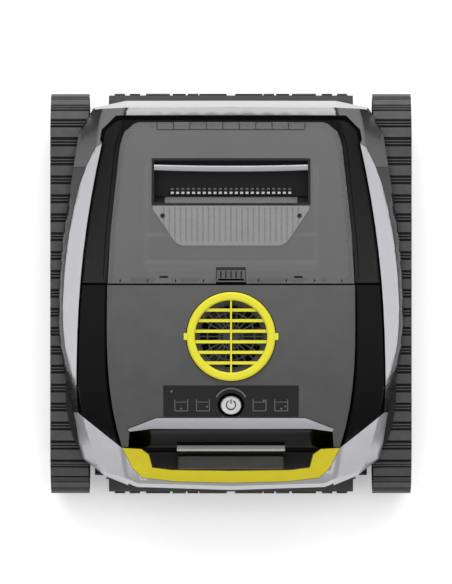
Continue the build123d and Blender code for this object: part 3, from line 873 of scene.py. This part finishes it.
def dot(name: str, place: Place, radius_mm: float, height_mm: float) -> bpy.types.Object:
    """A round, dished button such as a screw head or a clip, about z = 0.

    Args:
        name: Its name.
        place: Its centre in plan, in millimetres.
        radius_mm: Its radius.
        height_mm: Its height.

    Returns:
        The new object.
    """
    clear_selection()
    centre = (place[0] * MM, place[1] * MM, height_mm * MM / 2)
    bpy.ops.mesh.primitive_cylinder_add(
        vertices=32, radius=radius_mm * MM, depth=height_mm * MM, location=centre
    )
    head = bpy.context.object
    head.name = name
    settle(head)
    select_top(head)
    bpy.ops.mesh.inset(thickness=radius_mm * 0.35 * MM, depth=0)
    bpy.ops.mesh.inset(thickness=radius_mm * 0.12 * MM, depth=-height_mm * 0.45 * MM)
    bpy.ops.object.mode_set(mode="OBJECT")
    return soften(head, height_mm * 0.2)


def mirrored(path: Sequence[Place]) -> list[Place]:
    """The same path on the other side of the machine."""
    return [(-x, y) for x, y in path]


# ------------------------------------------------------------------ sub-assemblies


@dataclass(frozen=True)
class Lamp:
    """One soft rectangular lamp."""

    name: str
    place: Point
    target: Point
    size: Span
    watts: float
    reflects: bool = True

    def hang(self) -> None:
        """Hang the lamp, out of the camera's sight."""
        light = bpy.data.lights.new(self.name, "AREA")
        light.shape = "RECTANGLE"
        light.size, light.size_y = self.size
        light.energy = self.watts
        holder = bpy.data.objects.new(self.name, light)
        holder.location = self.place
        aim = Vector(self.target) - Vector(self.place)
        holder.rotation_euler = aim.to_track_quat("-Z", "Y").to_euler()
        holder.visible_camera = False
        holder.visible_glossy = self.reflects
        bpy.context.scene.collection.objects.link(holder)


# The overhead lamp doesn't show in reflections, so that the polished blacks stay dark.
LAMPS = (
    Lamp("overhead", (0.0, 1.3, 3.8), (0, 0, 0), (5.0, 5.0), 185.0, reflects=False),
    Lamp("rear_strip", (0.0, 3.2, 1.0), (0, 0, 0.2), (3.4, 0.6), 52.0),
    Lamp("front_strip", (0.0, -3.0, 2.0), (0, 0, 0.2), (2.4, 0.5), 14.0),
    Lamp("left_strip", (-3.2, 0.9, 0.9), (0, 0, 0.2), (0.6, 0.8), 7.0),
    Lamp("right_strip", (3.2, 0.9, 0.9), (0, 0, 0.2), (0.6, 0.8), 7.0),
)


@dataclass
class Studio:
    """The floor, the lamps and the camera straight above."""

    floor_size: float = 40.0
    floor_white: float = 0.98
    floor_glow: float = 0.2
    floor_roughness: float = 0.9
    camera_height: float = 10.2
    camera_x: float = -0.0059
    camera_y: float = 0.0018
    lens_mm: float = 522.0
    sensor_mm: float = 36.0
    far_clip: float = 100.0
    world_strength: float = 0.36

    def build(self) -> None:
        """Set the whole stage."""
        scene = bpy.context.scene
        scene.view_settings.view_transform = "Standard"
        self.lay_floor()
        self.light_world(scene)
        for lamp in LAMPS:
            lamp.hang()
        self.place_camera(scene)

    def lay_floor(self) -> None:
        """Lay a plain pale floor that glows a little, so that it stays white round the machine."""
        clear_selection()
        bpy.ops.mesh.primitive_plane_add(size=self.floor_size)
        floor = bpy.context.object
        floor.name = "studio_floor"
        paint = bpy.data.materials.new("studio_white")
        paint.use_nodes = True
        shader = paint.node_tree.nodes["Principled BSDF"]
        shader.inputs["Base Color"].default_value = (*[self.floor_white] * 3, 1.0)
        shader.inputs["Roughness"].default_value = self.floor_roughness
        shader.inputs["Specular IOR Level"].default_value = 0.0
        shader.inputs["Emission Color"].default_value = (1.0, 1.0, 1.0, 1.0)
        shader.inputs["Emission Strength"].default_value = self.floor_glow
        floor.data.materials.append(paint)

    def light_world(self, scene: bpy.types.Scene) -> None:
        """Give an even, weak light from all round.

        Args:
            scene: The scene.
        """
        world = bpy.data.worlds.new("studio_air")
        world.use_nodes = True
        back = world.node_tree.nodes["Background"]
        back.inputs["Color"].default_value = (1.0, 1.0, 1.0, 1.0)
        back.inputs["Strength"].default_value = self.world_strength
        scene.world = world

    def place_camera(self, scene: bpy.types.Scene) -> None:
        """Put the camera straight above, with its top towards the lid.

        Args:
            scene: The scene.
        """
        lens = bpy.data.cameras.new("plan_camera")
        lens.lens = self.lens_mm
        lens.sensor_width = self.sensor_mm
        lens.clip_end = self.far_clip
        camera = bpy.data.objects.new("plan_camera", lens)
        camera.location = (self.camera_x, self.camera_y, self.camera_height)
        scene.collection.objects.link(camera)
        scene.camera = camera


@dataclass
class Casing:
    """The outer mouldings: shell, flanks, blades, fairings, panels and bumper."""

    mouldings: tuple[Moulding, ...] = (
        Moulding("upper_shell", MATTE_SHELL, 0.5),
        # The front lip's silver is a painted highlight: the reflection on the shell's rounded front
        # edge.
        Moulding("front_lip", SILVER_AND_PAINTED_HIGHLIGHT, 0.5),
        Moulding("front_fascia", GLOSS_BLACK, 0.5),
        Moulding("front_bumper", SILVER_AND_PAINTED_HIGHLIGHT, 0.5),
        Moulding("rear_panel", REAR_BLACK, 0.0),
        Moulding("service_cover", GREY_NYLON, 0.5),
        Moulding("fascia_trim", SILVER_AND_PAINTED_HIGHLIGHT, 0.5),
    )
    side_mouldings: dict[str, Finish] = field(
        default_factory=lambda: {"flank": GLOSS_BLACK, "blade": SILVER_AND_PAINTED_HIGHLIGHT, "fairing": FAIRING}
    )
    edge_mm: float = 0.5
    clip_x: float = 170.0
    clip_y: Span = (48.0, 57.0)
    clip_width: float = 5.0
    clip_thick: float = 0.5
    clip_lift: float = 0.05
    pin_place: Place = (156.0, 91.0)
    pin_radius: float = 1.4
    pin_height: float = 0.5

    def build(self) -> None:
        """Dress the outer mouldings and lay the clip and the pin on each side."""
        refine_all(self.mouldings)
        for side in Side:
            for part, finish in self.side_mouldings.items():
                refine(f"{side.word}_{part}", finish, self.edge_mm)
            self.lay_clip(side)

    def lay_clip(self, side: Side) -> None:
        """Lay the small square clip and the pin beside the lid.

        Args:
            side: The side.
        """
        surface = Surface([f"{side.word}_blade", f"{side.word}_flank", f"{side.word}_fairing"])
        ends = [(side.value * self.clip_x, y) for y in self.clip_y]
        clip = ribbon(f"{side.word}_blade_clip", ends, self.clip_width, self.clip_thick)
        dress(surface.lay(clip, self.clip_lift), BLACK_NYLON, ROOT)
        place = (side.value * self.pin_place[0], self.pin_place[1])
        pin = dot(f"{side.word}_blade_pin", place, self.pin_radius, self.pin_height)
        dress(surface.lay(pin), BLACK_NYLON, ROOT)


@dataclass
class Handle:
    """The yellow soft grip across the front."""

    mouldings: tuple[Moulding, ...] = (Moulding("handle_grip", YELLOW_GRIP, 0.8, 3),)

    def build(self) -> None:
        """Dress the grip."""
        refine_all(self.mouldings)


@dataclass
class ControlPanel:
    """The plate with four pictograms, the light arc and the power button."""

    mouldings: tuple[Moulding, ...] = (
        # The plate's darker grey is painted shade of the front slope.
        Moulding("control_panel", PLATE_IN_PAINTED_SHADE, 0.4),
        Moulding("button_bezel", GLOSS_BLACK, 0.3),
        Moulding("power_button", BUTTON, 0.5, 3),
    )
    pool_centres: tuple[float, ...] = (-58.5, -33.0, 33.5, 59.0)
    half_width: float = 7.6
    rim_y: float = -124.3
    bottom_y: float = -138.0
    water_y: float = -127.6
    line_mm: float = 1.0
    water_inset: float = 1.0
    mark_radius: float = 1.2
    mark_height: float = 0.25
    button_y: float = -131.0
    arc_radius: float = 19.5
    arc_degrees: Span = (28.0, 152.0)
    arc_width: float = 1.6
    glint_radius: float = 16.6
    glint_degrees: Span = (232.0, 308.0)
    glint_width: float = 1.2
    lamp_place: Place = (-70.0, -115.0)
    lamp_radius: float = 1.3
    lamp_height: float = 0.4
    sign_radius: float = 5.4
    sign_degrees: Span = (118.0, 422.0)
    sign_width: float = 1.3
    sign_bar: Span = (1.6, 6.6)
    print_lift: float = 0.03

    def build(self) -> None:
        """Dress the plate and lay its print."""
        refine_all(self.mouldings)
        plate = Surface(["control_panel", "button_bezel", "upper_shell"])
        for index, centre in enumerate(self.pool_centres):
            self.print_pool(plate, index, centre)
        button = (0, self.button_y)
        arc = arc_path(button, self.arc_radius, *self.arc_degrees)
        dress(plate.lay(ribbon("light_arc", arc, self.arc_width), LIE_MM), ARC_DIFFUSER_AND_GLINT, ROOT)
        # The glint below the button is a painted highlight, a pale strip on the bezel.
        glint = arc_path(button, self.glint_radius, *self.glint_degrees)
        glint_strip = ribbon("bezel_front_light", glint, self.glint_width)
        dress(plate.lay(glint_strip, LIE_MM), ARC_DIFFUSER_AND_GLINT, ROOT)
        lamp = dot("status_lamp", self.lamp_place, self.lamp_radius, self.lamp_height)
        dress(plate.lay(lamp), ARC_DIFFUSER_AND_GLINT, ROOT)
        self.engrave_button()

    def print_pool(self, plate: Surface, index: int, centre: float) -> None:
        """Print one pool outline with its water line and mark.

        Args:
            plate: The surface it lies on.
            index: Which of the four it is.
            centre: Its place along x.
        """
        left, right = centre - self.half_width, centre + self.half_width
        outline = [(left, self.rim_y), (left, self.bottom_y)]
        outline += [(right, self.bottom_y), (right, self.rim_y)]
        marks = [
            [(centre, self.bottom_y + 2.6)],
            [(right - 2.8, self.bottom_y + 5.0)],
            [(right - 2.6, self.water_y + 1.6)],
            [(right - 2.8, self.bottom_y + 5.4), (centre, self.bottom_y + 2.6)],
        ][index]
        walls = [outline[start : start + 2] for start in range(3)]
        parts = [ribbon("pool_wall", wall, self.line_mm) for wall in walls]
        water = [(left + self.water_inset, self.water_y), (right - self.water_inset, self.water_y)]
        parts.append(ribbon("water", water, self.line_mm * 0.8))
        parts += [dot("mark", place, self.mark_radius, self.mark_height) for place in marks]
        picture = join(f"mode_pictogram_{index + 1}", parts)
        dress(plate.lay(picture, self.print_lift), INK, ROOT)

    def engrave_button(self) -> None:
        """Lay the power sign on the button."""
        top = Surface(["power_button"])
        circle = arc_path((0, self.button_y), self.sign_radius, *self.sign_degrees)
        stroke = [(0, self.button_y + rise) for rise in self.sign_bar]
        ring = ribbon("power_ring", circle, self.sign_width)
        bar = ribbon("power_bar", stroke, self.sign_width)
        sign = join("power_sign", [ring, bar])
        dress(top.lay(sign, self.print_lift), BLACK_NYLON, "button")


@dataclass
class Outlet:
    """The round yellow grille with the guard and the propeller below it."""

    mouldings: tuple[Moulding, ...] = (
        Moulding("outlet_grille", YELLOW, 0.6, 3),
        Moulding("propeller_guard", GREY_NYLON, 0.3),
        Moulding("propeller", GREY_NYLON, 0.3),
    )

    def build(self) -> None:
        """Dress the grille, the guard, the propeller and its shaft."""
        refine_all(self.mouldings)
        finish_node("propeller_shaft", STEEL)


@dataclass
class FilterLid:
    """The smoked lid with its scoop, comb, ramp, latch and hinge, and the filter below."""

    mouldings: tuple[Moulding, ...] = (
        Moulding("lid_frame", RAIL, 0.4),
        Moulding("lid_window", SMOKED, 0.3),
        Moulding("scoop_ramp", RAMP, 0.2),
        Moulding("lid_scoop", BLACK_NYLON, 0.4),
        # The scoop bar's silver is a painted highlight: the reflection on the scoop's rounded rear
        # lip.
        Moulding("scoop_bar", SILVER_AND_PAINTED_HIGHLIGHT, 0.4, 3),
        Moulding("scoop_comb", BLACK_NYLON, 0.3),
        Moulding("lid_latch", MATTE_SHELL, 0.3),
        Moulding("hinge_base", GREY_NYLON, 0.3),
        Moulding("filter_basket", GREY_NYLON, 0.4),
        Moulding("filter_rim", RIM_GREY, 0.4),
        Moulding("inlet_flap", BLACK_NYLON, 0.3),
    )
    tick_x: tuple[float, ...] = (32.3, 65.1, 97.9, 130.2)
    tick_y: Span = (13.6, 16.6)
    tick_width: float = 1.2
    slot_x: Span = (74.0, 84.0)
    slot_y: float = 19.5
    slot_width: float = 1.8
    rail_line: tuple[Place, ...] = (
        (150.5, 17.0),
        (147.5, 70.0),
        (142.5, 120.0),
        (137.0, 172.0),
        (132.5, 190.0),
    )
    rail_line_width: float = 1.1
    screw_place: Place = (80.5, 91.6)
    screw_radius: float = 2.6
    screw_height: float = 0.8
    teeth: int = 23
    tooth_pitch: float = 6.3
    tooth_width: float = 3.4
    tooth_depth: float = 2.6
    tooth_thick: float = 0.6
    front_row_y: float = 118.8
    rear_row_y: float = 123.4
    ledge_half: float = 78.0
    ledge_y: float = 110.0
    ledge_depth: float = 8.0
    ledge_thick: float = 0.4
    ledge_lift: float = 0.1
    rim_bar_x: float = 101.0
    rim_bar_y: Span = (36.8, 69.6)
    rim_bar_half: float = 2.4
    rim_bar_height: float = 1.2
    rim_bar_edge: float = 0.5
    rim_z: float = 200.0
    hinge_pitch: float = 19.4
    hinge_joints: int = 10
    hinge_y: Span = (193.6, 202.0)
    hinge_line_width: float = 1.0
    rib_x: tuple[float, ...] = (-12.0, -6.0, 0.0, 6.0, 12.0)
    rib_y: Span = (18.6, 26.0)
    rib_width: float = 1.6
    rib_thick: float = 0.5
    latch_line_half: float = 15.0
    latch_line_y: float = 16.3
    latch_line_width: float = 2.0

    def build(self) -> None:
        """Dress the lid and the filter, and lay the lid's small details."""
        refine_all(self.mouldings)
        finish_node("hinge_pin", STEEL)
        finish_node("filter_mesh", CLOTH)
        surface = Surface(["lid_window", "lid_frame", "scoop_ramp"])
        self.lay_rails(surface)
        self.lay_front_edge(surface)
        self.lay_ramp_details(surface)
        self.lay_comb()
        self.lay_hinge_lines(surface)
        self.lay_rim_bars()
        self.lay_latch_ribs()

    def lay_rails(self, surface: Surface) -> None:
        """Lay the dividing line along each rail.

        Args:
            surface: The lid's top.
        """
        paths = {Side.RIGHT: list(self.rail_line), Side.LEFT: mirrored(self.rail_line)}
        for side, path in paths.items():
            line = ribbon(f"{side.word}_rail_line", path, self.rail_line_width)
            dress(surface.lay(line, LIE_MM), GLOSS_BLACK, LID)

    def lay_front_edge(self, surface: Surface) -> None:
        """Lay the ticks and the two slots just behind the lid's front seam.

        Args:
            surface: The lid's top.
        """
        marks = []
        for x in self.tick_x:
            for side in Side:
                ends = [(side.value * x, y) for y in self.tick_y]
                marks.append(ribbon("tick", ends, self.tick_width))
        for side in Side:
            ends = [(side.value * x, self.slot_y) for x in self.slot_x]
            marks.append(ribbon("slot", ends, self.slot_width))
        dress(surface.lay(join("lid_front_marks", marks), LIE_MM), GLOSS_BLACK, LID)

    def lay_ramp_details(self, surface: Surface) -> None:
        """Lay the ramp's two screws.

        Args:
            surface: The lid's top.
        """
        for side in Side:
            place = (side.value * self.screw_place[0], self.screw_place[1])
            screw = dot(f"{side.word}_ramp_screw", place, self.screw_radius, self.screw_height)
            dress(surface.lay(screw), BLACK_NYLON, LID)

    def lay_comb(self) -> None:
        """Lay the comb's two rows of teeth in painted shade, the rear row darker, and the grey
        ledge before it.
        """
        top = Surface(["scoop_comb"])
        rows = (("front", self.front_row_y, FRONT_TOOTH_SHADE), ("rear", self.rear_row_y, REAR_TOOTH_DEEP_SHADE))
        for row, y, finish in rows:
            teeth = []
            for index in range(self.teeth):
                x = (index - (self.teeth - 1) / 2) * self.tooth_pitch
                ends = [(x - self.tooth_width / 2, y), (x + self.tooth_width / 2, y)]
                teeth.append(ribbon("tooth", ends, self.tooth_depth, self.tooth_thick))
            dress(top.lay(join(f"comb_{row}_teeth", teeth), LIE_MM), finish, LID)
        ends = [(-self.ledge_half, self.ledge_y), (self.ledge_half, self.ledge_y)]
        ledge = ribbon("scoop_ledge", ends, self.ledge_depth, self.ledge_thick)
        dress(Surface(["lid_scoop"]).lay(ledge, self.ledge_lift), LEDGE, LID)

    def lay_hinge_lines(self, surface: Surface) -> None:
        """Lay the joints of the hinge cover, seen at the lid's rear edge.

        Args:
            surface: The lid's top.
        """
        middle = (self.hinge_joints - 1) / 2
        half, front = middle * self.hinge_pitch, self.hinge_y[0]
        lines = [ribbon("line", [(-half, front), (half, front)], self.hinge_line_width)]
        for index in range(self.hinge_joints):
            x = (index - middle) * self.hinge_pitch
            lines.append(ribbon("line", [(x, y) for y in self.hinge_y], self.hinge_line_width))
        dress(surface.lay(join("hinge_cover_joints", lines), LIE_MM), BLACK_NYLON, LID)

    def lay_rim_bars(self) -> None:
        """Raise the two bright bars on the filter's rim."""
        for index, y in enumerate(self.rim_bar_y):
            low = (-self.rim_bar_x, y - self.rim_bar_half, self.rim_z)
            high = (self.rim_bar_x, y + self.rim_bar_half, self.rim_z + self.rim_bar_height)
            dress(block(f"rim_bar_{index + 1}", low, high, self.rim_bar_edge), PALE, "filter")

    def lay_latch_ribs(self) -> None:
        """Lay the finger ribs on the latch, and the black line before them: painted shadow of the
        latch's gap.
        """
        top = Surface(["lid_latch"])
        paths = [[(x, y) for y in self.rib_y] for x in self.rib_x]
        ribs = [ribbon("rib", path, self.rib_width, self.rib_thick) for path in paths]
        dress(top.lay(join("latch_ribs", ribs)), BLACK_NYLON, "latch")
        # This black line is painted shadow of the gap before the latch.
        ends = [(x, self.latch_line_y) for x in (-self.latch_line_half, self.latch_line_half)]
        line = ribbon("latch_line", ends, self.latch_line_width)
        dress(top.lay(line, LIE_MM), GLOSS_BLACK, "latch")


@dataclass
class Tracks:
    """Both rubber tracks, with their pads and ribs, and the wheels inside."""

    inner_x: float = 169.0
    outer_x: float = 215.0
    wheel_y: float = 173.5
    axle_z: float = 65.0
    band_radius: float = 61.5
    inside_radius: float = 58.0
    outer_radius: float = 65.0
    pads: int = 48
    pad_length: float = 13.0
    rib_length: float = 1.5
    rib_height: float = 2.4
    rib_places: Span = (9.6, 12.9)
    foot_depth: float = 0.4
    dish_inset: float = 2.2
    dish_slope: float = 0.5
    dish_depth: float = 0.5
    pad_edge: float = 0.5
    rib_edge: float = 0.3
    cover_edge: float = 0.5
    wheel_edge: float = 0.4
    band_vertices: int = 160
    on_axis_m: float = 1e-5

    @property
    def pitch(self) -> float:
        """The distance from one pad to the next along the band."""
        return (4 * self.wheel_y + 2 * math.pi * self.band_radius) / self.pads

    def build(self) -> None:
        """Build one track, copy it to the other side, and dress the wheels and side covers."""
        unit = self.model_unit()
        band = self.model_band()
        copies = [placed(unit, "pad", self.station(index)) for index in range(self.pads)]
        treads = join("right_tread_pads", copies)
        bpy.data.objects.remove(unit)
        flip = Matrix.Diagonal((-1, 1, 1, 1))
        for side in (Side.LEFT, Side.RIGHT):
            own_band, own_pads = band, treads
            if side is Side.LEFT:
                own_band = placed(band, "left_track_band", flip)
                own_pads = placed(treads, "left_tread_pads", flip)
            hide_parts(f"{side.word}_belt")
            # The band's darker rubber is painted shade in the grooves between the pads.
            dress(own_band, GROOVE_RUBBER_PAINTED_SHADE, ROOT)
            dress(own_pads, TREAD, ROOT)
            refine(f"{side.word}_side_cover", CHASSIS, self.cover_edge)
            for end in End:
                refine(f"{side.word}_{end.word}_wheel", WHEEL, self.wheel_edge)
        finish_node("wheel_axles", STEEL)

    def model_unit(self) -> bpy.types.Object:
        """One pad and the two thin ribs in the groove after it, lying at the origin.

        Returns:
            The unit, with its length along y and its foot at z = 0.
        """
        high = self.outer_radius - self.band_radius
        half, foot = self.pad_length / 2, -self.foot_depth
        pad = block("pad_block", (self.inner_x, -half, foot), (self.outer_x, half, high), 0)
        take_up(pad)
        select_top(pad)
        bpy.ops.mesh.inset(thickness=self.dish_inset * MM, depth=0)
        bpy.ops.mesh.inset(thickness=self.dish_slope * MM, depth=-self.dish_depth * MM)
        bpy.ops.object.mode_set(mode="OBJECT")
        soften(pad, self.pad_edge)
        ribs = []
        for place in self.rib_places:
            low = (self.inner_x, place - self.rib_length / 2, foot)
            high = (self.outer_x, place + self.rib_length / 2, self.rib_height)
            ribs.append(block("rib", low, high, self.rib_edge))
        return join("tread_unit", [pad, *ribs])

    def model_band(self) -> bpy.types.Object:
        """The band under the pads: a tube stretched into a loop.

        Returns:
            The band of the right track.
        """
        clear_selection()
        middle = (self.inner_x + self.outer_x) / 2 * MM
        bpy.ops.mesh.primitive_cylinder_add(
            vertices=self.band_vertices,
            radius=self.band_radius * MM,
            depth=(self.outer_x - self.inner_x) * MM,
            end_fill_type="NOTHING",
            rotation=(0, math.pi / 2, 0),
            location=(middle, 0, self.axle_z * MM),
        )
        band = bpy.context.object
        band.name = "right_track_band"
        settle(band)
        for vertex in band.data.vertices:
            if abs(vertex.co.y) > self.on_axis_m:
                vertex.co.y += math.copysign(self.wheel_y * MM, vertex.co.y)
        take_up(band)
        wall = band.modifiers.new("wall", "SOLIDIFY")
        wall.thickness = (self.band_radius - self.inside_radius) * MM
        wall.offset = -1.0
        bpy.ops.object.modifier_apply(modifier=wall.name)
        return soften(band, self.pad_edge)

    def station(self, index: int) -> Matrix:
        """Where one tread unit sits on the loop.

        Args:
            index: Its number, from the middle of the top run towards the rear.

        Returns:
            The matrix from the unit's own place to the loop.
        """
        straight, turn = 2 * self.wheel_y, math.pi * self.band_radius
        distance = ((index + 0.5) * self.pitch + self.wheel_y) % (2 * (straight + turn))
        if distance < straight:
            return self.place_at(-self.wheel_y + distance, self.axle_z + self.band_radius, 0.0)
        distance -= straight
        if distance < turn:
            angle = distance / self.band_radius
            y = self.wheel_y + self.band_radius * math.sin(angle)
            return self.place_at(y, self.axle_z + self.band_radius * math.cos(angle), -angle)
        distance -= turn
        if distance < straight:
            return self.place_at(self.wheel_y - distance, self.axle_z - self.band_radius, math.pi)
        angle = math.pi + (distance - straight) / self.band_radius
        y = -self.wheel_y + self.band_radius * math.sin(angle)
        return self.place_at(y, self.axle_z + self.band_radius * math.cos(angle), -angle)

    def place_at(self, y: float, z: float, angle: float) -> Matrix:
        """A turn about x and a move to a place on the loop.

        Args:
            y: Place along y, in millimetres.
            z: Place along z, in millimetres.
            angle: The turn.

        Returns:
            The matrix.
        """
        return Matrix.Translation((0, y * MM, z * MM)) @ Matrix.Rotation(angle, 4, "X")


@dataclass
class Brushes:
    """The four scrubbing brushes and the arms between them."""

    brush_edge: float = 0.3
    arm_edge: float = 0.5

    def build(self) -> None:
        """Dress the brushes and their arms."""
        for side in Side:
            for end in End:
                refine(f"{side.word}_{end.word}_brush", BRUSH, self.brush_edge)
        refine("brush_brackets", CHASSIS, self.arm_edge)


@dataclass
class Innards:
    """What lies inside and below: chassis, covers, motors, battery and board."""

    mouldings: tuple[Moulding, ...] = (
        Moulding("chassis", CHASSIS, 0.5),
        Moulding("deck_frame", CHASSIS, 0.4),
        Moulding("bottom_cover", BLACK_NYLON, 0.5),
        Moulding("motor_housing", BLACK_NYLON, 0.5),
    )

    def build(self) -> None:
        """Dress the inner pieces."""
        refine_all(self.mouldings)
        finish_node("cover_screws", STEEL)
        finish_node("pump_motor", MOTOR_CAN)
        finish_node("battery_pack", GREY_NYLON)
        finish_node("circuit_board", CIRCUIT)
        for side in Side:
            finish_node(f"{side.word}_drive_motor", MOTOR_CAN)
            finish_node(f"{side.word}_drive_pinion", STEEL)


def main() -> None:
    """Build every sub-assembly in order."""
    logging.basicConfig(level=logging.INFO, format="%(name)s: %(message)s")
    for assembly in (
        Studio(),
        Innards(),
        Tracks(),
        Brushes(),
        Casing(),
        FilterLid(),
        Outlet(),
        ControlPanel(),
        Handle(),
    ):
        LOG.info("building %s", type(assembly).__name__)
        assembly.build()


if __name__ == "__main__":
    main()
